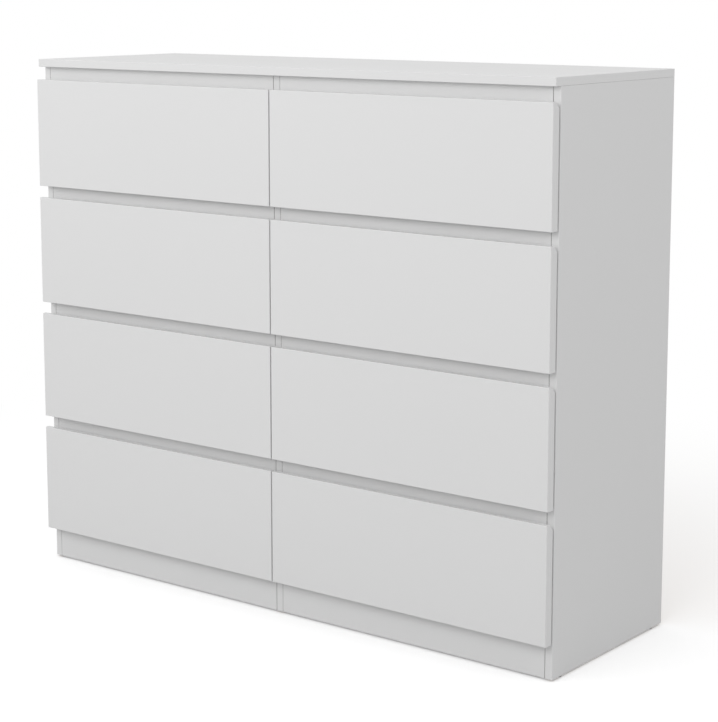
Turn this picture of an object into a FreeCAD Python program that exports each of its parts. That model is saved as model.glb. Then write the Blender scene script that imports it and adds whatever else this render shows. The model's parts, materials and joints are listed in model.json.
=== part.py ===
import FreeCAD, Part
import math
import os

# A chest of drawers of white boards: two columns of four drawers with no
# handles, in a carcass of two sides, a centre divider and a top. Each drawer
# runs on two moulded strips that sit in grooves in its sides. Millimetres.
# The floor is z = 0, x = 0 is the middle of the chest, the drawer fronts face
# -Y, and y = 0 is half of the whole depth.

# Rows and columns
row_count = 4
front_height = 211.0
row_gap = 23.5
top_gap = 25.0
plinth_reveal = 63.0

# Carcass
overall_width = 1200.0
board = 15.0
side_depth = 377.5
top_overhang = 16.5
edge_radius = 1.0
upright_edge_radius = 1.5
front_lap = 15.0
plinth_lap = 12.0
rear_rail_height = 60.0
back_thickness = 3.0
back_inset = 8.0
back_groove_depth = 6.0
back_foot_gap = 5.0
groove_play = 0.2
notch_play = 0.5

# Glides under the uprights
glide_radius = 6.0
glide_height = 3.5
glide_taper = 0.5
glide_inset = 32.0
glide_edge_gap = 1.0

# Drawer fronts
front_thickness = 19.0
front_standoff = 3.5
front_inset = 0.5
centre_gap = 2.5
grip_land = 9.0
grip_height = 12.0

# Drawer boxes
box_board = 12.0
box_length = 350.0
box_height = 140.0
box_lift = 22.0
box_side_gap = 3.0
box_edge_radius = 3.0
drawer_bottom_thickness = 3.0
drawer_bottom_lift = 9.0
drawer_bottom_groove = 5.0

# Runner strips and the grooves that ride on them
strip_depth = 10.0
strip_length = 330.0
strip_setback = 25.0
strip_web = 2.5
strip_wall = 2.4
strip_rib = 2.0
strip_rib_shares = (0.2, 0.4, 0.6, 0.8)
runner_groove_height = 17.0
runner_groove_depth = 8.0
runner_play = 0.3
runner_height_share = 0.5

# Cutting overrun and the slack for picking edges
overrun = 1.0
pick_slack = 0.01

# Levels
side_foot = glide_height
first_front = side_foot + plinth_reveal
row_pitch = front_height + row_gap
top_front_edge = first_front + row_count * front_height + (row_count - 1) * row_gap
side_top = top_front_edge + top_gap
chest_top = side_top + board

# Depths, front to rear
overall_depth = front_thickness + front_standoff + side_depth
front_face = -overall_depth / 2
front_rear = front_face + front_thickness
carcass_front = front_rear + front_standoff
carcass_rear = carcass_front + side_depth
back_groove_width = back_thickness + groove_play
back_face = carcass_rear - back_inset - back_groove_width

# Widths
side_outer = overall_width / 2
side_inner = side_outer - board
divider_face = board / 2

# Drawer box, measured from the front's lower edge and the column's walls
box_rear = front_rear + box_length
runner_lift = box_lift + box_height * runner_height_share
groove_radius = runner_groove_height / 2
strip_radius = groove_radius - runner_play
strip_nose = carcass_front + strip_setback
strip_end = strip_nose + strip_length


def block(low, high):
    """A board from its low corner to its high corner."""
    size = [b - a for a, b in zip(low, high)]
    return Part.makeBox(*size, FreeCAD.Vector(*low))


def soften(shape, radius, chosen):
    """Round the edges whose middle point is chosen."""
    edges = [edge for edge in shape.Edges if chosen(edge.CenterOfMass)]
    return shape.makeFillet(radius, edges)


def level(value, target):
    """Whether a coordinate is at a target."""
    return abs(value - target) < pick_slack


def save(name, shape):
    """Write a sub-part to its own file."""
    shape.exportStep("parts/" + name + ".step")


def column_walls(column):
    """The two faces, low x then high x, that a column of drawers runs between."""
    if column == "left":
        return -side_inner, -divider_face
    return divider_face, side_inner


def row_level(row):
    """Lower edge of the fronts in a row, counted from the top."""
    return first_front + (row_count - row) * row_pitch


def upright(low, high):
    """An upright board, with the two long edges at its front rounded."""
    middle = (side_foot + side_top) / 2
    return soften(block(low, high), upright_edge_radius,
                  lambda p: level(p.y, carcass_front) and level(p.z, middle))


def side_panel(sign):
    """A side panel with the groove that holds the back panel."""
    inner, outer = sorted((sign * side_inner, sign * side_outer))
    panel = upright((inner, carcass_front, side_foot), (outer, carcass_rear, side_top))
    groove_x = sorted((sign * (side_inner - overrun), sign * (side_inner + back_groove_depth)))
    groove = block((groove_x[0], back_face, side_foot - overrun),
                   (groove_x[1], back_face + back_groove_width, side_top + overrun))
    return panel.cut(groove)


def centre_divider():
    """The divider stops at the back panel and is notched round the rear rail."""
    panel = upright((-divider_face, carcass_front, side_foot), (divider_face, back_face, side_top))
    notch = block((-divider_face - overrun, back_face - board - notch_play, side_foot - overrun),
                  (divider_face + overrun, back_face + overrun,
                   side_foot + rear_rail_height + notch_play))
    return panel.cut(notch)


def top_panel():
    """The top, with a stopped groove for the upper edge of the back panel."""
    panel = block((-side_outer, carcass_front - top_overhang, side_top),
                  (side_outer, carcass_rear, chest_top))
    middle = side_top + board / 2
    panel = soften(panel, edge_radius, lambda p: not level(p.z, middle))
    reach = side_inner + back_groove_depth
    groove = block((-reach, back_face, side_top - overrun),
                   (reach, back_face + back_groove_width, side_top + back_groove_depth))
    return panel.cut(groove)


def back_panel():
    """One thin sheet in the grooves of the sides and the top."""
    reach = side_inner + back_groove_depth - groove_play
    return block((-reach, back_face, side_foot + back_foot_gap),
                 (reach, back_face + back_thickness, side_top + back_groove_depth - groove_play))


def front_board(column, low, high):
    """A rail or plinth on edge between two uprights, flush with their front edges."""
    left, right = column_walls(column)
    rail = block((left, carcass_front, low), (right, carcass_front + board, high))
    return soften(rail, edge_radius, lambda p: level(p.y, carcass_front))


def rear_rail():
    """The rail at the foot of the back panel, from side to side."""
    return block((-side_inner, back_face - board, side_foot),
                 (side_inner, back_face, side_foot + rear_rail_height))


def glides():
    """Round glides under the uprights, near the front and near the rear."""
    rear_places = {-side_outer + divider_face: carcass_rear - glide_inset,
                   0: back_face - board - notch_play - glide_edge_gap - glide_radius,
                   side_outer - divider_face: carcass_rear - glide_inset}
    discs = []
    for x, rear in rear_places.items():
        for y in (carcass_front + glide_inset, rear):
            discs.append(Part.makeCone(glide_radius - glide_taper, glide_radius, glide_height,
                                       FreeCAD.Vector(x, y, 0)))
    return Part.makeCompound(discs)


def drawer_front(left, right, base):
    """A front panel: a bevel on its top rear edge, a groove for the drawer's bottom."""
    top = base + front_height
    outline = [(front_face, base), (front_face, top), (front_face + grip_land, top),
               (front_rear, top - grip_height), (front_rear, base), (front_face, base)]
    points = [FreeCAD.Vector(left, y, z) for y, z in outline]
    panel = Part.Face(Part.makePolygon(points)).extrude(FreeCAD.Vector(right - left, 0, 0))
    ends = (left, right)
    return soften(panel, edge_radius, lambda p: level(p.y, front_face)
                  or (level(p.y, front_rear) and min(abs(p.x - end) for end in ends) < pick_slack))


def runner_groove(wall, inward, base):
    """The stopped groove in a drawer side's outer face, round where the cutter ends."""
    centre = base + runner_lift
    turn = strip_nose + strip_radius
    start, end = sorted((wall - inward * overrun, wall + inward * runner_groove_depth))
    slot = block((start, turn, centre - groove_radius), (end, box_rear + overrun, centre + groove_radius))
    cutter = Part.makeCylinder(groove_radius, end - start, FreeCAD.Vector(start, turn, centre),
                               FreeCAD.Vector(1, 0, 0))
    return slot.fuse(cutter)


def drawer_side(wall, inward, base):
    """A drawer side: wall is its outer face, inward points into the drawer."""
    low = base + box_lift
    inner = wall + inward * box_board
    left, right = sorted((wall, inner))
    side = block((left, front_rear, low), (right, box_rear, low + box_height))
    side = soften(side, box_edge_radius, lambda p: level(p.z, low + box_height)
                  and not level(p.y, front_rear) and not level(p.y, box_rear))
    side = side.cut(runner_groove(wall, inward, base))
    start, end = sorted((inner + inward * overrun, inner - inward * drawer_bottom_groove))
    slot = block((start, front_rear - overrun, low + drawer_bottom_lift),
                 (end, box_rear + overrun, low + drawer_bottom_lift + drawer_bottom_thickness + groove_play))
    return side.cut(slot)


def drawer_back(left, right, base):
    """The back stands between the sides, on top of the drawer's bottom."""
    low = base + box_lift
    foot = low + drawer_bottom_lift + drawer_bottom_thickness
    back = block((left, box_rear - box_board, foot), (right, box_rear, low + box_height))
    return soften(back, box_edge_radius, lambda p: level(p.z, low + box_height)
                  and not level(p.x, left) and not level(p.x, right))


def drawer_bottom(left, right, base, play):
    """The bottom, held in grooves in the sides and the front."""
    foot = base + box_lift + drawer_bottom_lift
    reach = drawer_bottom_groove - play
    return block((left - reach, front_rear - reach, foot),
                 (right + reach, box_rear, foot + drawer_bottom_thickness))


def drawer(column, row):
    """The five boards of one drawer, by the last part of their names."""
    base = row_level(row)
    walls = column_walls(column)
    outer_left = walls[0] + box_side_gap
    outer_right = walls[1] - box_side_gap
    inner_left = outer_left + box_board
    inner_right = outer_right - box_board
    edges = sorted((math.copysign(side_outer - front_inset, walls[0]),
                    math.copysign(centre_gap / 2, walls[0])))
    front_groove = drawer_bottom(inner_left - groove_play, inner_right + groove_play, base, 0)
    slot = front_groove.fuse(front_groove.translated(FreeCAD.Vector(0, 0, groove_play)))
    return {"front": drawer_front(*edges, base).cut(slot),
            "side_left": drawer_side(outer_left, 1, base),
            "side_right": drawer_side(outer_right, -1, base),
            "back": drawer_back(inner_left, inner_right, base),
            "bottom": drawer_bottom(inner_left, inner_right, base, groove_play)}


def strip_outline(front, rear, radius, centre, x):
    """A bar seen from the side, with a half-round nose at its front end."""
    turn = front + radius
    corners = [FreeCAD.Vector(x, turn, centre - radius), FreeCAD.Vector(x, rear, centre - radius),
               FreeCAD.Vector(x, rear, centre + radius), FreeCAD.Vector(x, turn, centre + radius)]
    nose = Part.Arc(corners[3], FreeCAD.Vector(x, front, centre), corners[0]).toShape()
    sides = [Part.LineSegment(a, b).toShape() for a, b in zip(corners, corners[1:])]
    return Part.Face(Part.Wire(sides + [nose]))


def runner_strip(wall, centre):
    """A moulded strip on a wall at its low-x side, hollow towards the drawer."""
    strip = strip_outline(strip_nose, strip_end, strip_radius, centre, wall)
    strip = strip.extrude(FreeCAD.Vector(strip_depth, 0, 0))
    hollow = strip_outline(strip_nose + strip_wall, strip_end - strip_wall, strip_radius - strip_wall,
                           centre, wall + strip_web)
    hollow = hollow.extrude(FreeCAD.Vector(strip_depth, 0, 0))
    for share in strip_rib_shares:
        middle = strip_nose + share * strip_length
        hollow = hollow.cut(block((wall, middle - strip_rib / 2, centre - strip_radius),
                                  (wall + strip_depth + strip_web, middle + strip_rib / 2,
                                   centre + strip_radius)))
    return strip.cut(hollow)


def runner_strips():
    """A strip on each wall of both columns, for every row."""
    strips = []
    for column in ("left", "right"):
        low_wall, high_wall = column_walls(column)
        middle = FreeCAD.Vector((low_wall + high_wall) / 2, 0, 0)
        for row in range(1, row_count + 1):
            strip = runner_strip(low_wall, row_level(row) + runner_lift)
            strips.append(strip)
            strips.append(strip.mirror(middle, FreeCAD.Vector(1, 0, 0)))
    return Part.makeCompound(strips)


def front_levels():
    """Lower and upper edge of each rail and of the plinth, with its name's first and last part."""
    levels = [("front_rail", "_1", top_front_edge - front_lap, side_top)]
    for row in range(2, row_count + 1):
        gap = row_level(row) + front_height
        levels.append(("front_rail", "_" + str(row), gap - front_lap, gap + row_gap + front_lap))
    levels.append(("plinth", "", side_foot, first_front + plinth_lap))
    return levels


os.makedirs("parts", exist_ok=True)
save("side_panel_left", side_panel(-1))
save("side_panel_right", side_panel(1))
save("centre_divider", centre_divider())
save("top_panel", top_panel())
save("back_panel", back_panel())
save("rear_rail", rear_rail())
save("glides", glides())
save("drawer_runners", runner_strips())
for column in ("left", "right"):
    for first, last, low, high in front_levels():
        save(first + "_" + column + last, front_board(column, low, high))
    for row in range(1, row_count + 1):
        for piece, shape in drawer(column, row).items():
            save("drawer_" + column + "_" + str(row) + "_" + piece, shape)
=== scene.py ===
import bmesh
import bpy
import json
import math
from mathutils import Matrix, Vector

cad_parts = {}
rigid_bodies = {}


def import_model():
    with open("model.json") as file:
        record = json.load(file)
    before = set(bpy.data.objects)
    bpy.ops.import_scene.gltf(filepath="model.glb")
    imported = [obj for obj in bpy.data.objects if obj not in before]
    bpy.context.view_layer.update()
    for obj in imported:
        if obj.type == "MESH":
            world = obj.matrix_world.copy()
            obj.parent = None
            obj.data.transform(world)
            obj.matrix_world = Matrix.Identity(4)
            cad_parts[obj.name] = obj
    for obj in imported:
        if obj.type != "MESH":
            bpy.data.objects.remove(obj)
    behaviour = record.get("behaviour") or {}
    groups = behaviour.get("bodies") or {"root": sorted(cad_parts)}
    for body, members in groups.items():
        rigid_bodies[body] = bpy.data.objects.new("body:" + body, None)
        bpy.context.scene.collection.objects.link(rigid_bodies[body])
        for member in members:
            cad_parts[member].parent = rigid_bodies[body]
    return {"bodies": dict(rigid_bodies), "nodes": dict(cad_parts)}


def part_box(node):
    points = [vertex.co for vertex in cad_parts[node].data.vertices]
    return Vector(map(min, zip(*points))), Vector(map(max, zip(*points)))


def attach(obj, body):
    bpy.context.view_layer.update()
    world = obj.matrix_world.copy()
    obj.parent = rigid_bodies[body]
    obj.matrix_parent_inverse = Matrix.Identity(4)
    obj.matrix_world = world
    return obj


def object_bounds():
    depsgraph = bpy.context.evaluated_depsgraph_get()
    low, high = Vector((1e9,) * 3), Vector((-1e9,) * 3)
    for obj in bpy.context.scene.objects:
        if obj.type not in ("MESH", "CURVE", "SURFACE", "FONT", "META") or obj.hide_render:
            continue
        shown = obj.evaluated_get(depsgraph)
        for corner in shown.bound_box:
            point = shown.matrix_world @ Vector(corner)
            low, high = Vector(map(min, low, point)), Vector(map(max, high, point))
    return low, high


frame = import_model()
cad_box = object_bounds()


# Sides and centre divider
# Chipboard, 15 mm, faced with white melamine that has a fine pearl grain. The front and
# upper edges have a white edging, and the rear and lower edges are left as they were sawn.
# The three uprights carry everything else.
X, Y, Z = 0, 1, 2
WHITE = (0.75, 0.75, 0.75)
WHITE_DEEPER = (0.735, 0.735, 0.735)
CLOUD = 0.45
GLOSS_PATCH = 0.017
SATIN, SATIN_DULLER = 0.44, 0.52
PEARL, PEARL_DEPTH = 0.0006, 0.000012
SWELL, SWELL_DEPTH = 0.07, 0.00004
CHIP_DARK = (0.22, 0.135, 0.07)
CHIP_MIDDLE = (0.40, 0.27, 0.155)
CHIP_PALE = (0.56, 0.42, 0.27)
CHIP_SHARES = (0.1, 0.4, 0.8)
CHIP, CHIP_DEPTH = 0.0024, 0.0003
DUST, DUST_SHARE = 0.0011, 0.5
SAWN_ROUGHNESS = 0.85
FACING = 0.0003
EDGING = 0.0012
EDGE_ROUND = 0.0016
# Bands beside joints are darkened: partly dust in the seam, partly painted shade standing in for the shadow
# in the joint.
SEAM = 0.00045
SEAM_SHADE = 0.75
SEAM_DUST_AND_PAINTED_SHADE = (0.16, 0.155, 0.15)
MIX_SOCKETS = {"RGBA": (6, 7, 2), "VECTOR": (4, 5, 1)}


class Nodes:
    """The nodes of a material or a world."""

    def __init__(self, owner):
        owner.use_nodes = True
        self.tree = owner.node_tree

    def feed(self, socket, value):
        """Links a socket to another one, or sets its value."""
        if isinstance(value, bpy.types.NodeSocket):
            self.tree.links.new(value, socket)
        elif socket.type == "RGBA":
            socket.default_value = (*value, 1.0)
        else:
            socket.default_value = value

    def add(self, kind, feeds, **settings):
        """Makes a node, and feeds its sockets by their names or numbers."""
        node = self.tree.nodes.new(kind)
        for key, value in settings.items():
            setattr(node, key, value)
        for socket, value in feeds.items():
            self.feed(node.inputs[socket], value)
        return node

    def work_out(self, operation, *values):
        """One step of arithmetic, or one comparison, on numbers or sockets."""
        return self.add("ShaderNodeMath", dict(enumerate(values)), operation=operation).outputs[0]

    def spread(self, share, low, high, start=0.0, end=1.0):
        """Low where a share is at or under its start, high at or over its end, and even between."""
        feeds = {"Value": share, "From Min": start, "From Max": end, "To Min": low, "To Max": high}
        return self.add("ShaderNodeMapRange", feeds).outputs["Result"]


class Finish(Nodes):
    """A procedural material, laid on the piece's own coordinates. Its sizes are in metres."""

    def __init__(self, name):
        self.material = bpy.data.materials.new(name)
        super().__init__(self.material)
        self.surface = self.tree.nodes["Principled BSDF"]
        self.place = self.add("ShaderNodeTexCoord", {}).outputs["Object"]

    def axes(self):
        """The three coordinates, in the order of X, Y and Z."""
        return self.add("ShaderNodeSeparateXYZ", {"Vector": self.place}).outputs

    def noise(self, size, detail=2.0, roughness=0.5):
        """Cloudy noise from 0 to 1, with patches about as wide as its size."""
        feeds = {"Vector": self.place, "Scale": 1.0 / size, "Detail": detail, "Roughness": roughness}
        return self.add("ShaderNodeTexNoise", feeds).outputs["Fac"]

    def blend(self, share, first, second, kind="RGBA"):
        """A colour, or a vector, between two that are given as values or sockets. The names of
        the mix node's sockets repeat, so it is fed by their numbers."""
        one, other, result = MIX_SOCKETS[kind]
        feeds = {0: share, one: first, other: second}
        return self.add("ShaderNodeMix", feeds, data_type=kind).outputs[result]

    def ramp(self, share, *stops):
        """Colours along a share, as (place, colour) pairs."""
        node = self.add("ShaderNodeValToRGB", {"Fac": share})
        marks = node.color_ramp.elements
        while len(marks) < len(stops):
            marks.new(1.0)
        for mark, (place, colour) in zip(marks, stops):
            mark.position = place
            mark.color = (*colour, 1.0)
        return node.outputs["Color"]

    def relief(self, height, depth, *under):
        """A bumped normal, on top of the one under it if that is given."""
        feeds = {"Height": height, "Distance": depth, **{"Normal": normal for normal in under}}
        return self.add("ShaderNodeBump", feeds).outputs["Normal"]

    def set(self, **sockets):
        """Feeds the shader: a name such as Base_Color stands for its socket."""
        for key, value in sockets.items():
            self.feed(self.surface.inputs[key.replace("_", " ")], value)
        return self.material


def white_facing(finish):
    """Colour, roughness and relief of a white melamine face."""
    colour = finish.blend(finish.noise(CLOUD, detail=3.0), WHITE, WHITE_DEEPER)
    gloss = finish.spread(finish.noise(GLOSS_PATCH, detail=4.0, roughness=0.6), SATIN, SATIN_DULLER)
    pearl = finish.relief(finish.noise(PEARL, roughness=0.55), PEARL_DEPTH)
    return colour, gloss, finish.relief(finish.noise(SWELL, detail=1.0), SWELL_DEPTH, pearl)


def sawn_chipboard(finish):
    """Colour and relief of a sawn chipboard edge: pale chips, dark gaps, fine dust."""
    cells = finish.add("ShaderNodeTexVoronoi", {"Vector": finish.place, "Scale": 1.0 / CHIP}).outputs
    chips = finish.ramp(cells["Color"], *zip(CHIP_SHARES, (CHIP_DARK, CHIP_MIDDLE, CHIP_PALE)))
    dust = finish.noise(DUST, detail=4.0, roughness=0.65)
    colour = finish.blend(finish.spread(dust, 0.0, DUST_SHARE), chips, CHIP_MIDDLE)
    return colour, finish.relief(finish.work_out("ADD", cells["Distance"], dust), CHIP_DEPTH)


def faced_board(name, thickness, low, high, edged=(), inner=FACING, shaded_seams=()):
    """Chipboard with white faces at low and high along its thickness, and white edging at
    the edges listed as (axis, coordinate, width). Whatever was cut between shows the chips.
    A shaded seam is a band beside a joint, given as (axis, coordinate, width) limits that all hold. It is
    blended towards a dark grey: partly dust held in the joint, partly painted shade where the joint's shadow
    falls."""
    finish = Finish(name)
    axes = finish.axes()
    raw = finish.work_out("COMPARE", axes[thickness], (low + high) / 2, (high - low) / 2 - inner)
    for axis, coordinate, width in edged:
        raw = finish.work_out("SUBTRACT", raw, finish.work_out("COMPARE", axes[axis], coordinate, width))
    raw = finish.add("ShaderNodeClamp", {"Value": raw}).outputs[0]
    colour, gloss, relief = white_facing(finish)
    # Painted shade, with a little dust: each seam band is blended towards a dark grey.
    for limits in shaded_seams:
        shade = SEAM_SHADE
        for axis, coordinate, width in limits:
            here = finish.work_out("COMPARE", axes[axis], coordinate, width)
            shade = finish.work_out("MULTIPLY", shade, here)
        colour = finish.blend(shade, colour, SEAM_DUST_AND_PAINTED_SHADE)
    chips, chip_relief = sawn_chipboard(finish)
    rough = finish.work_out("MULTIPLY", raw, SAWN_ROUGHNESS)
    return finish.set(Base_Color=finish.blend(raw, colour, chips),
                      Roughness=finish.work_out("MAXIMUM", gloss, rough),
                      Normal=finish.blend(raw, relief, chip_relief, "VECTOR"))


def dress(node, material):
    """Gives a CAD node its material."""
    for slot in frame["nodes"][node].material_slots:
        slot.material = material


for upright in ("side_panel_left", "side_panel_right", "centre_divider"):
    low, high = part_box(upright)
    inside_faces = [face for face in (low.x, high.x) if abs(face) < cad_box[1].x]
    # On the inside faces, a narrow band just behind the front edge, where the rails butt on, gets painted
    # shade with a little dust.
    shaded_seams = [((X, face, SEAM), (Y, low.y, EDGE_ROUND)) for face in inside_faces]
    edges = [(Y, low.y, EDGING), (Z, high.z, EDGING)]
    dress(upright, faced_board(upright + "_melamine", X, low.x, high.x, edges, shaded_seams=shaded_seams))


# Top
# The same board, edged all round, so only the groove for the back panel is raw inside.
# It lies on the three uprights and stands out past their front edges.
low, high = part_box("top_panel")
edges = [(X, low.x, EDGING), (X, high.x, EDGING), (Y, low.y, EDGING), (Y, high.y, EDGING)]
dress("top_panel", faced_board("top_melamine", Z, low.z, high.z, edges, inner=EDGING))


# Front rails, plinths and rear rail
# Strips of the same board on edge between the uprights. The long edges are edged, and the
# sawn ends butt against the uprights, where dowels and cam fittings hold them.
rails = [name for name in frame["nodes"] if name.startswith(("front_rail", "plinth"))] + ["rear_rail"]
for rail in sorted(rails):
    low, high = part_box(rail)
    edges = [(Z, low.z, EDGING), (Z, high.z, EDGING)]
    # A narrow band at each sawn end, where it meets an upright, gets painted shade with a little dust.
    shaded_ends = [((X, low.x, SEAM),), ((X, high.x, SEAM),)]
    dress(rail, faced_board(rail + "_melamine", Y, low.y, high.y, edges, inner=EDGING, shaded_seams=shaded_ends))


# Back panel
# One sheet of 3 mm hardboard, painted white inside the chest and left brown behind, with
# the print of the wire screen that it was pressed on. Pan-head screws hold it to the
# divider and to the rear rail.
FIBRE = (0.40, 0.26, 0.15)
FIBRE_DARK = (0.23, 0.135, 0.07)
FIBRE_PALE = (0.52, 0.37, 0.23)
STAIN, STAIN_SHARE = 0.11, 0.45
FLECK, FLECK_SHARES = 0.0067, (0.0, 0.8, 0.5, 0.7)
FIBRE_WIDTH, FIBRE_SHARES = 0.0014, (0.6, 0.0, 0.45, 0.6)
SCREEN, SCREEN_DEPTH = 0.0016, 0.00022
PAINT_ROUGHNESS, FIBRE_ROUGHNESS = 0.5, 0.82
PAINT_DEPTH = 0.001
ZINC, ZINC_ROUGHNESS = (0.62, 0.62, 0.6), 0.3
TARNISH, TARNISH_SHARE = 0.006, 0.8
MARK, MARK_DEPTH, MARK_DULLING = 0.0026, 0.00003, 0.15
SIDES = 12
MERGE = 0.000001
ORDER_SLANT = Vector((1.0, 1.7, 2.9))
SHANK, CREST, PITCH, TIP = 0.00125, 0.00175, 0.0015, 0.0015
PAN_HEAD = [(0.0030, 0.0), (0.0031, 0.0006), (0.0026, 0.0014), (0.0017, 0.0018)]
PAN_CROSS = (0.0014, 0.0003, 0.0012)
CROSS_SQUARES, CROSS_NARROWING = 3, 0.75
DRIVER_TURN = 300.0
BACK_SCREW = 0.012
BACK_SCREWS_UP = 7
FIRST_ABOVE_RAIL, LAST_BELOW_TOP = 0.06, 0.08
RAIL_SCREW_SHARES = (0.05, 0.28, 0.5, 0.72, 0.95)


def hardboard(name, axis, change, white_below):
    """White on one side of a plane across its thickness, and screen-printed fibre on the other."""
    finish = Finish(name)
    axes = finish.axes()
    brown = finish.work_out("GREATER_THAN" if white_below else "LESS_THAN", axes[axis], change)
    wires = []
    for across in [other for other in (X, Y, Z) if other != axis]:
        wires.append(finish.work_out("SINE", finish.work_out("MULTIPLY", axes[across], math.tau / SCREEN)))
    screen = finish.work_out("MULTIPLY", *wires)
    fibres = finish.noise(FIBRE_WIDTH, detail=6.0, roughness=0.7)
    stains = finish.noise(STAIN, detail=3.0)
    pale = finish.spread(finish.noise(FLECK, detail=5.0, roughness=0.75), *FLECK_SHARES)
    dark = finish.spread(fibres, *FIBRE_SHARES)
    mottle = finish.blend(finish.spread(stains, 0.0, STAIN_SHARE), FIBRE, FIBRE_DARK)
    mottle = finish.blend(dark, finish.blend(pale, mottle, FIBRE_PALE), FIBRE_DARK)
    paint = finish.blend(stains, WHITE, WHITE_DEEPER)
    weave = finish.work_out("MULTIPLY", finish.work_out("ADD", screen, fibres), brown)
    return finish.set(Base_Color=finish.blend(brown, paint, mottle),
                      Roughness=finish.spread(brown, PAINT_ROUGHNESS, FIBRE_ROUGHNESS),
                      Normal=finish.relief(weave, SCREEN_DEPTH))


def plated(name, colour, roughness):
    """Zinc-plated steel or cast zinc, with faint handling marks."""
    finish = Finish(name)
    marks = finish.noise(MARK, detail=3.0)
    tarnished = tuple(TARNISH_SHARE * level for level in colour)
    return finish.set(Base_Color=finish.blend(finish.noise(TARNISH), colour, tarnished), Metallic=1.0,
                      Roughness=finish.spread(marks, roughness, roughness + MARK_DULLING),
                      Normal=finish.relief(marks, MARK_DEPTH))


def turned(profile, sides=SIDES):
    """Turns a profile of (radius, height) pairs about Z. Where it meets the axis it is closed."""
    bm = bmesh.new()
    points = [bm.verts.new((radius, 0.0, height)) for radius, height in profile]
    lines = [bm.edges.new(pair) for pair in zip(points, points[1:])]
    bmesh.ops.spin(bm, geom=points + lines, cent=(0, 0, 0), axis=(0, 0, 1), angle=math.tau,
                   steps=sides, use_merge=True)
    bmesh.ops.remove_doubles(bm, verts=bm.verts, dist=MERGE)
    return bm


def thread(start, end, root, crest, pitch):
    """The profile of a screw thread, as rings from start to end."""
    turns = round((end - start) / pitch)
    profile = []
    for turn in range(turns):
        foot = start + turn * (end - start) / turns
        profile += [(root, foot), (crest, foot + pitch / 2)]
    return profile + [(root, end)]


def sink_cross(bm, arm, half, depth):
    """Closes the open crown of a turned head, with a crossed recess for the driver."""
    crown = max(v.co.z for v in bm.verts)
    grid = bmesh.ops.create_grid(bm, x_segments=CROSS_SQUARES, y_segments=CROSS_SQUARES,
                                 size=arm)["verts"]
    for axis in (X, Y):
        squeeze = Vector((1.0, 1.0, 1.0))
        squeeze[axis] = CROSS_SQUARES * half / arm
        bmesh.ops.scale(bm, vec=squeeze, verts=[v for v in grid if abs(v.co[axis]) < arm / 2])
    squares = {face for v in grid for face in v.link_faces}
    corners = [face for face in squares if min(map(abs, face.calc_center_median().xy)) > half]
    bmesh.ops.translate(bm, vec=(0.0, 0.0, crown), verts=grid)
    bmesh.ops.delete(bm, geom=corners, context="FACES")
    cross = [face for face in squares if face.is_valid]
    bmesh.ops.triangle_fill(bm, edges=[edge for edge in bm.edges if edge.is_boundary],
                            use_beauty=True, normal=(0, 0, 1))
    sunk = bmesh.ops.extrude_face_region(bm, geom=cross)["geom"]
    bmesh.ops.delete(bm, geom=cross, context="FACES")
    sunk = [part for part in sunk if isinstance(part, bmesh.types.BMVert)]
    bmesh.ops.translate(bm, vec=(0.0, 0.0, -depth), verts=sunk)
    bmesh.ops.scale(bm, vec=(CROSS_NARROWING, CROSS_NARROWING, 1.0), verts=sunk)


def put_in_order(bm):
    """Sorts the points along a slanted line, and the faces by the numbers of three of their
    points. Turning and extruding order them differently each run, and this undoes that."""
    bm.verts.sort(key=lambda v: v.co.dot(ORDER_SLANT))
    bm.verts.index_update()
    count = len(bm.verts)

    def number(face):
        first, second, third = sorted(v.index for v in face.verts)[:3]
        return (first * count + second) * count + third

    bm.faces.sort(key=number)


def keep(name, bm):
    """Ends a bmesh in order and with its faces outwards, and keeps it as a mesh."""
    put_in_order(bm)
    bmesh.ops.recalc_face_normals(bm, faces=bm.faces)
    mesh = bpy.data.meshes.new(name)
    bm.to_mesh(mesh)
    bm.free()
    return mesh


def pan_screw(name, length):
    """A pan-head screw for thin sheet and plastic, with its length taken under the head."""
    bm = turned([(0.0, -length), *thread(TIP - length, 0.0, SHANK, CREST, PITCH), *PAN_HEAD])
    sink_cross(bm, *PAN_CROSS)
    return keep(name, bm)


def add_copy(bm, mesh, point, direction):
    """Adds a copy of a mesh at a point, its +Z along a direction. It is turned by an angle
    worked out from its place, as a driver leaves a screw at any angle."""
    count = len(bm.verts)
    bm.from_mesh(mesh)
    bm.verts.ensure_lookup_table()
    point = Vector(point)
    aim = Vector((0, 0, 1)).rotation_difference(Vector(direction)).to_matrix().to_4x4()
    left = Matrix.Rotation(DRIVER_TURN * sum(point), 4, "Z")
    bmesh.ops.transform(bm, matrix=Matrix.Translation(point) @ aim @ left, verts=bm.verts[count:])


def add_object(name, bm, material):
    """Makes an object at the origin from a bmesh."""
    mesh = keep(name, bm)
    mesh.materials.append(material)
    piece = bpy.data.objects.new(name, mesh)
    bpy.context.scene.collection.objects.link(piece)
    return piece


def finish_piece(name, bm, material, body):
    """Makes a piece of the chest, and fixes it to a body."""
    piece = add_object(name, bm, material)
    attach(piece, body)


low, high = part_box("back_panel")
rail_low, rail_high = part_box("rear_rail")
dress("back_panel", hardboard("back_hardboard", Y, low.y + PAINT_DEPTH, white_below=True))
bright_zinc = plated("bright_zinc", ZINC, ZINC_ROUGHNESS)
back_screw = pan_screw("back_screw", BACK_SCREW)
screws = bmesh.new()
first = rail_high.z + FIRST_ABOVE_RAIL
spacing = (high.z - LAST_BELOW_TOP - first) / (BACK_SCREWS_UP - 1)
for step in range(BACK_SCREWS_UP):
    add_copy(screws, back_screw, (0.0, high.y, first + step * spacing), (0, 1, 0))
for share in RAIL_SCREW_SHARES:
    across = rail_low.x + share * (rail_high.x - rail_low.x)
    add_copy(screws, back_screw, (across, high.y, (rail_low.z + rail_high.z) / 2), (0, 1, 0))
finish_piece("back_panel_screws", screws, bright_zinc, "carcass")


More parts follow.
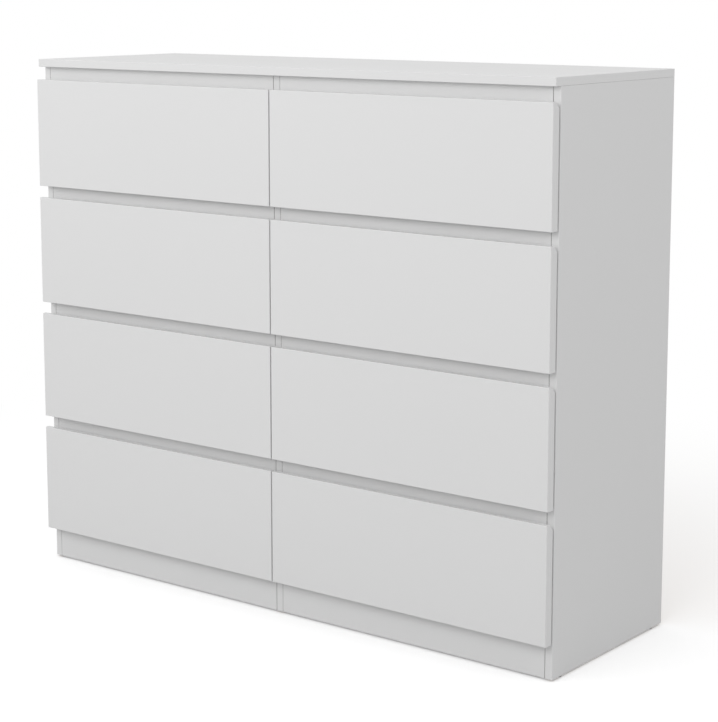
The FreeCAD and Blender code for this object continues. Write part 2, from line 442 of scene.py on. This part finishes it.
# Glides
# Round knock-in glides of grey plastic. Two stand under each of the three uprights, one
# near its front and one near its rear.
GLIDE_GREY = (0.3, 0.3, 0.3)
GLIDE_GREY_DEEPER = (0.26, 0.26, 0.26)
GLIDE_ROUGHNESS, DULLER_SPOTS, SPOT = 0.45, 0.1, 0.005
TINT = 0.033
GLIDE_SPARK, SPARK_DEPTH = 0.00056, 0.00003


def moulded(name, colour, deeper, roughness, spark):
    """Moulded plastic with a fine spark-eroded grain."""
    finish = Finish(name)
    return finish.set(Base_Color=finish.blend(finish.noise(TINT, detail=3.0), colour, deeper),
                      Roughness=finish.spread(finish.noise(SPOT), roughness, roughness + DULLER_SPOTS),
                      Normal=finish.relief(finish.noise(spark, roughness=0.6), SPARK_DEPTH))


dress("glides", moulded("glide_plastic", GLIDE_GREY, GLIDE_GREY_DEEPER, GLIDE_ROUGHNESS, GLIDE_SPARK))


# Drawer runners
# Sixteen moulded strips of white plastic, hollow towards the drawer, each held to its
# upright by three screws. The drawer sides ride on them with a groove.
STRIP_WHITE = (0.7, 0.7, 0.69)
STRIP_WHITE_DEEPER = (0.66, 0.66, 0.65)
STRIP_ROUGHNESS, STRIP_SPARK = 0.38, 0.0007
STRIP_WEB = 0.0025
RUNNER_SCREW = 0.009
RUNNER_SCREW_SHARES = (0.1, 0.5, 0.9)
RUNNER_WALLS = (("side_panel_left", 1), ("centre_divider", -1),
                ("centre_divider", 1), ("side_panel_right", -1))

dress("drawer_runners", moulded("white_runner_plastic", STRIP_WHITE, STRIP_WHITE_DEEPER,
                                STRIP_ROUGHNESS, STRIP_SPARK))
strip_low, strip_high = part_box("drawer_runners")
runner_screw = pan_screw("runner_screw", RUNNER_SCREW)
screws = bmesh.new()
drawers = sorted(name for name in frame["bodies"] if name.startswith("drawer"))
rows = [name for name in drawers if name.startswith("drawer_left")]
for row in rows:
    side_low, side_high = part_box(row + "_side_left")
    level = (side_low.z + side_high.z) / 2
    for upright, look in RUNNER_WALLS:
        low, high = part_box(upright)
        web = (high.x if look > 0 else low.x) + look * STRIP_WEB
        for share in RUNNER_SCREW_SHARES:
            along = strip_low.y + share * (strip_high.y - strip_low.y)
            add_copy(screws, runner_screw, (web, along, level), (look, 0, 0))
finish_piece("runner_screws", screws, bright_zinc, "carcass")


# Cam fittings and dowels of the carcass
# Each rail, plinth and upright is drawn tight by cast cams let into it, each turned on a
# bolt in the neighbouring board. Beech dowels beside them keep the boards in line. The
# cams show on the hidden faces, and the bolts and dowels are inside the boards.
CAST_ZINC, CAST_ROUGHNESS = (0.5, 0.5, 0.49), 0.42
CAM = [(0.0, -0.0105), (0.0074, -0.0105), (0.0074, 0.0002), (0.0071, 0.0005), (0.0045, 0.0005)]
CAM_CROSS = (0.0032, 0.0006, 0.002)
CAM_SIDES = 24
CAM_BACK = 0.024
GRIP = 0.007
BOLT_ROOT, BOLT_CREST, BOLT_PITCH = 0.0022, 0.003, 0.0016
BOLT_COLLAR = [(0.0035, 0.0), (0.0035, 0.001), (0.0025, 0.001)]
BOLT_NECK = [(0.0025, -0.0065), (0.0014, -0.0055), (0.0014, -0.003)]
BOLT_HEAD = [(0.0027, -0.002), (0.0027, -0.0005), (0.0, 0.0)]
DOWEL, DOWEL_REACH, DOWEL_CHAMFER = 0.003, 0.018, 0.0008
FLUTES, FLUTE_NARROWING = 12, 0.87
RAIL_DOWEL_SHARES = (0.25, 0.75)
TOP_CAM_SHARES = (0.13, 0.5, 0.87)
TOP_DOWEL_SHARES = (0.22, 0.59, 0.77)
BEECH_DARK, BEECH_PALE = (0.50, 0.32, 0.18), (0.62, 0.43, 0.26)
BEECH_FLECK, BEECH_SHARES, BEECH_ROUGHNESS = 0.0042, (0.3, 0.7), 0.6


def cam_housing(name, profile, cross):
    """A cam housing. Its face, just proud of the board, is at height 0."""
    bm = turned(profile, CAM_SIDES)
    sink_cross(bm, *cross)
    return keep(name, bm)


def cam_bolt(name, grip, reach):
    """A cam bolt. From the joint at height 0, its thread grips one board and its head reaches
    into the cam in the other."""
    head = [(radius, reach + height) for radius, height in BOLT_NECK + BOLT_HEAD]
    screwed = thread(-grip, 0.0, BOLT_ROOT, BOLT_CREST, BOLT_PITCH)
    return keep(name, turned([(0.0, -grip), *screwed, *BOLT_COLLAR, *head]))


def fluted_dowel(name, grip, reach):
    """A dowel with chamfered ends, and flutes that let the glue out."""
    narrow = DOWEL - DOWEL_CHAMFER
    bm = turned([(0.0, -grip), (narrow, -grip), (DOWEL, DOWEL_CHAMFER - grip),
                 (DOWEL, reach - DOWEL_CHAMFER), (narrow, reach), (0.0, reach)], 2 * FLUTES)
    flutes = [v for v in bm.verts if round(math.atan2(v.co.y, v.co.x) * FLUTES / math.pi) % 2]
    bmesh.ops.scale(bm, vec=(FLUTE_NARROWING, FLUTE_NARROWING, 1.0), verts=flutes)
    return keep(name, bm)


cast_zinc = plated("cast_zinc", CAST_ZINC, CAST_ROUGHNESS)
cam = cam_housing("cam", CAM, CAM_CROSS)
bolt = cam_bolt("cam_bolt", GRIP, CAM_BACK)
dowel = fluted_dowel("dowel", GRIP, DOWEL_REACH)
cams, bolts, dowels = bmesh.new(), bmesh.new(), bmesh.new()
for rail in rails:
    low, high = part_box(rail)
    face, look = (low.y, -1) if rail == "rear_rail" else (high.y, 1)
    core, middle = (low.y + high.y) / 2, (low.z + high.z) / 2
    for end, inward in ((low.x, 1), (high.x, -1)):
        add_copy(cams, cam, (end + inward * CAM_BACK, face, middle), (0, look, 0))
        add_copy(bolts, bolt, (end, core, middle), (inward, 0, 0))
        for share in RAIL_DOWEL_SHARES:
            add_copy(dowels, dowel, (end, core, low.z + share * (high.z - low.z)), (inward, 0, 0))
for upright, look in (("side_panel_left", 1), ("centre_divider", 1), ("side_panel_right", -1)):
    low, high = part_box(upright)
    face = high.x if look > 0 else low.x
    core, depth = (low.x + high.x) / 2, high.y - low.y
    for share in TOP_CAM_SHARES:
        add_copy(cams, cam, (face, low.y + share * depth, high.z - CAM_BACK), (look, 0, 0))
        add_copy(bolts, bolt, (core, low.y + share * depth, high.z), (0, 0, -1))
    for share in TOP_DOWEL_SHARES:
        add_copy(dowels, dowel, (core, low.y + share * depth, high.z), (0, 0, -1))
beech = Finish("beech")
flecks = beech.noise(BEECH_FLECK, detail=3.0)
grain = beech.ramp(flecks, *zip(BEECH_SHARES, (BEECH_DARK, BEECH_PALE)))
beech.set(Base_Color=grain, Roughness=BEECH_ROUGHNESS)
finish_piece("carcass_cams", cams, cast_zinc, "carcass")
finish_piece("carcass_cam_bolts", bolts, bright_zinc, "carcass")
finish_piece("carcass_dowels", dowels, beech.material, "carcass")


# Drawer fronts
# Fibreboard, 19 mm, wrapped in white foil all over, also on the bevel behind the top
# edge, which is the finger grip. The inside face has a groove for the drawer's bottom.
def foiled(name):
    """Fibreboard under a smooth white foil."""
    finish = Finish(name)
    colour, gloss, relief = white_facing(finish)
    return finish.set(Base_Color=colour, Roughness=gloss, Normal=relief)


front_foil = foiled("front_foil")
for body in drawers:
    dress(body + "_front", front_foil)


# Drawer boxes
# The sides and the back are 12 mm chipboard wrapped in white foil, sawn at the ends and
# in the grooves. The bottom is 3 mm hardboard, white inside and brown below.
FOIL = 0.0002
ROUNDED = 0.0032
for body in drawers:
    for side in ("_side_left", "_side_right"):
        low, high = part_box(body + side)
        edges = [(Z, low.z, FOIL), (Z, high.z, ROUNDED)]
        dress(body + side, faced_board(body + side + "_foil", X, low.x, high.x, edges, inner=FOIL))
    low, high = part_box(body + "_back")
    edges = [(Z, high.z, ROUNDED)]
    dress(body + "_back", faced_board(body + "_back_foil", Y, low.y, high.y, edges, inner=FOIL))
    low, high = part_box(body + "_bottom")
    sheet = hardboard(body + "_hardboard", Z, high.z - PAINT_DEPTH, white_below=False)
    dress(body + "_bottom", sheet)


# Drawer fittings
# Each side is drawn against its front by two small cams on bolts, and two countersunk
# screws go through it into the back.
SMALL_CAM = [(0.0, -0.0095), (0.0058, -0.0095), (0.0058, 0.0002), (0.0055, 0.0005), (0.0035, 0.0005)]
SMALL_CAM_CROSS = (0.0026, 0.0005, 0.0018)
SIDE_SCREW = 0.035
SIDE_PITCH = 0.0024
FLAT_HEAD_DEEP = 0.0022
FLAT_HEAD = [(0.0034, 0.0), (0.0034, 0.0002), (0.0024, 0.0004)]
FLAT_CROSS = (0.0015, 0.0003, 0.0012)
FRONT_GRIP = 0.011
FITTING_LEVELS = (0.035, 0.108)

small_cam = cam_housing("small_cam", SMALL_CAM, SMALL_CAM_CROSS)
small_bolt = cam_bolt("small_cam_bolt", FRONT_GRIP, CAM_BACK)
shank = thread(TIP - SIDE_SCREW, -FLAT_HEAD_DEEP, SHANK, CREST, SIDE_PITCH)
side_screw = turned([(0.0, -SIDE_SCREW), *shank, *FLAT_HEAD])
sink_cross(side_screw, *FLAT_CROSS)
side_screw = keep("side_screw", side_screw)
for body in drawers:
    cams, bolts, screws = bmesh.new(), bmesh.new(), bmesh.new()
    back_low, back_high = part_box(body + "_back")
    back_core = (back_low.y + back_high.y) / 2
    for side, inward in (("_side_left", 1), ("_side_right", -1)):
        low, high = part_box(body + side)
        inside, outside = (high.x, low.x) if inward > 0 else (low.x, high.x)
        for level in FITTING_LEVELS:
            add_copy(cams, small_cam, (inside, low.y + CAM_BACK, low.z + level), (inward, 0, 0))
            add_copy(bolts, small_bolt, ((low.x + high.x) / 2, low.y, low.z + level), (0, 1, 0))
            add_copy(screws, side_screw, (outside, back_core, low.z + level), (-inward, 0, 0))
    finish_piece(body + "_cams", cams, cast_zinc, body)
    finish_piece(body + "_cam_bolts", bolts, bright_zinc, body)
    finish_piece(body + "_back_screws", screws, bright_zinc, body)


# Studio
# A plain pale floor under an even sky, with a long soft box along the fronts and a weak one
# at the right side. The background is white by the rays that the camera sees, so no light
# is added for it.
FLOOR_REACH = 9.0
FLOOR_SEEN = (0.93, 0.93, 0.93)
FLOOR_BOUNCE = (0.5, 0.5, 0.5)
FLOOR_LIFT = 0.24
WHITE_FROM, WHITE_AT = 0.75, 1.9
SKY = 0.77
FRONT_BOX = dict(place=(-0.4, -2.2, 1.65), target=(0.0, -0.2, 0.85), length=4.2, height=1.2, power=25.0)
SIDE_BOX = dict(place=(2.4, -0.6, 1.6), target=(0.6, -0.1, 0.9), length=1.8, height=1.2, power=4.5)


def seen_rays(nodes):
    """1 on the rays that show the background: from the camera, in gloss and through glass."""
    rays = nodes.add("ShaderNodeLightPath", {}).outputs
    gloss = nodes.work_out("MAXIMUM", rays["Is Glossy Ray"], rays["Is Transmission Ray"])
    return nodes.work_out("MAXIMUM", rays["Is Camera Ray"], gloss)


def studio_floor():
    """Pale and shadowed near the chest, white further off, and duller for the light it returns."""
    finish = Finish("studio_floor")
    pale = finish.add("ShaderNodeBsdfDiffuse", {"Color": FLOOR_SEEN}).outputs[0]
    lift = finish.add("ShaderNodeEmission", {"Strength": FLOOR_LIFT}).outputs[0]
    near_floor = finish.add("ShaderNodeAddShader", {0: pale, 1: lift}).outputs[0]
    white = finish.add("ShaderNodeEmission", {"Strength": 1.0}).outputs[0]
    distance = finish.add("ShaderNodeVectorMath", {0: finish.place}, operation="LENGTH").outputs["Value"]
    far = finish.add("ShaderNodeMapRange", {"Value": distance, "From Min": WHITE_FROM, "From Max": WHITE_AT},
                     interpolation_type="SMOOTHSTEP").outputs["Result"]
    shown = finish.add("ShaderNodeMixShader", {0: far, 1: near_floor, 2: white}).outputs[0]
    bounce = finish.add("ShaderNodeBsdfDiffuse", {"Color": FLOOR_BOUNCE}).outputs[0]
    surface = finish.add("ShaderNodeMixShader", {0: seen_rays(finish), 1: bounce, 2: shown}).outputs[0]
    finish.feed(finish.tree.nodes["Material Output"].inputs["Surface"], surface)
    finish.tree.nodes.remove(finish.surface)
    return finish.material


def soft_box(name, place, target, length, height, power):
    """A long soft box, level along its length, turned to a target."""
    lamp = bpy.data.lights.new(name, "AREA")
    lamp.shape = "RECTANGLE"
    lamp.size = length
    lamp.size_y = height
    lamp.energy = power
    light = bpy.data.objects.new(name, lamp)
    bpy.context.scene.collection.objects.link(light)
    light.location = place
    light.rotation_euler = (Vector(target) - Vector(place)).to_track_quat("-Z", "Y").to_euler()


floor = bmesh.new()
bmesh.ops.create_grid(floor, x_segments=1, y_segments=1, size=FLOOR_REACH)
add_object("floor", floor, studio_floor())
world = bpy.data.worlds.new("studio_sky")
sky = Nodes(world)
background = sky.tree.nodes["Background"]
sky.feed(background.inputs["Color"], (1.0, 1.0, 1.0))
sky.feed(background.inputs["Strength"], sky.spread(seen_rays(sky), SKY, 1.0))
bpy.context.scene.world = world
soft_box("front_box", **FRONT_BOX)
soft_box("side_box", **SIDE_BOX)


# Camera
# The photo is taken from the front right with a long, level lens that is shifted down. Here
# most of that shift is a tilt instead, so that the chest stays in view from other sides.
PHOTO_SIDE = 722
LENS_PIXELS = 1943.0
CAMERA_PLACE = (2.2615, -2.8706, 1.1749)
CAMERA_TURN = math.radians(37.601)
CAMERA_TILT = math.radians(8.814)
LENS_SHIFT = -0.11

lens = bpy.data.cameras.new("camera")
lens.lens = lens.sensor_width * LENS_PIXELS / PHOTO_SIDE
lens.shift_y = LENS_SHIFT
camera = bpy.data.objects.new("camera", lens)
bpy.context.scene.collection.objects.link(camera)
camera.location = CAMERA_PLACE
camera.rotation_euler = (math.pi / 2 - CAMERA_TILT, 0.0, CAMERA_TURN)
bpy.context.scene.camera = camera
bpy.context.scene.view_settings.view_transform = "Standard"
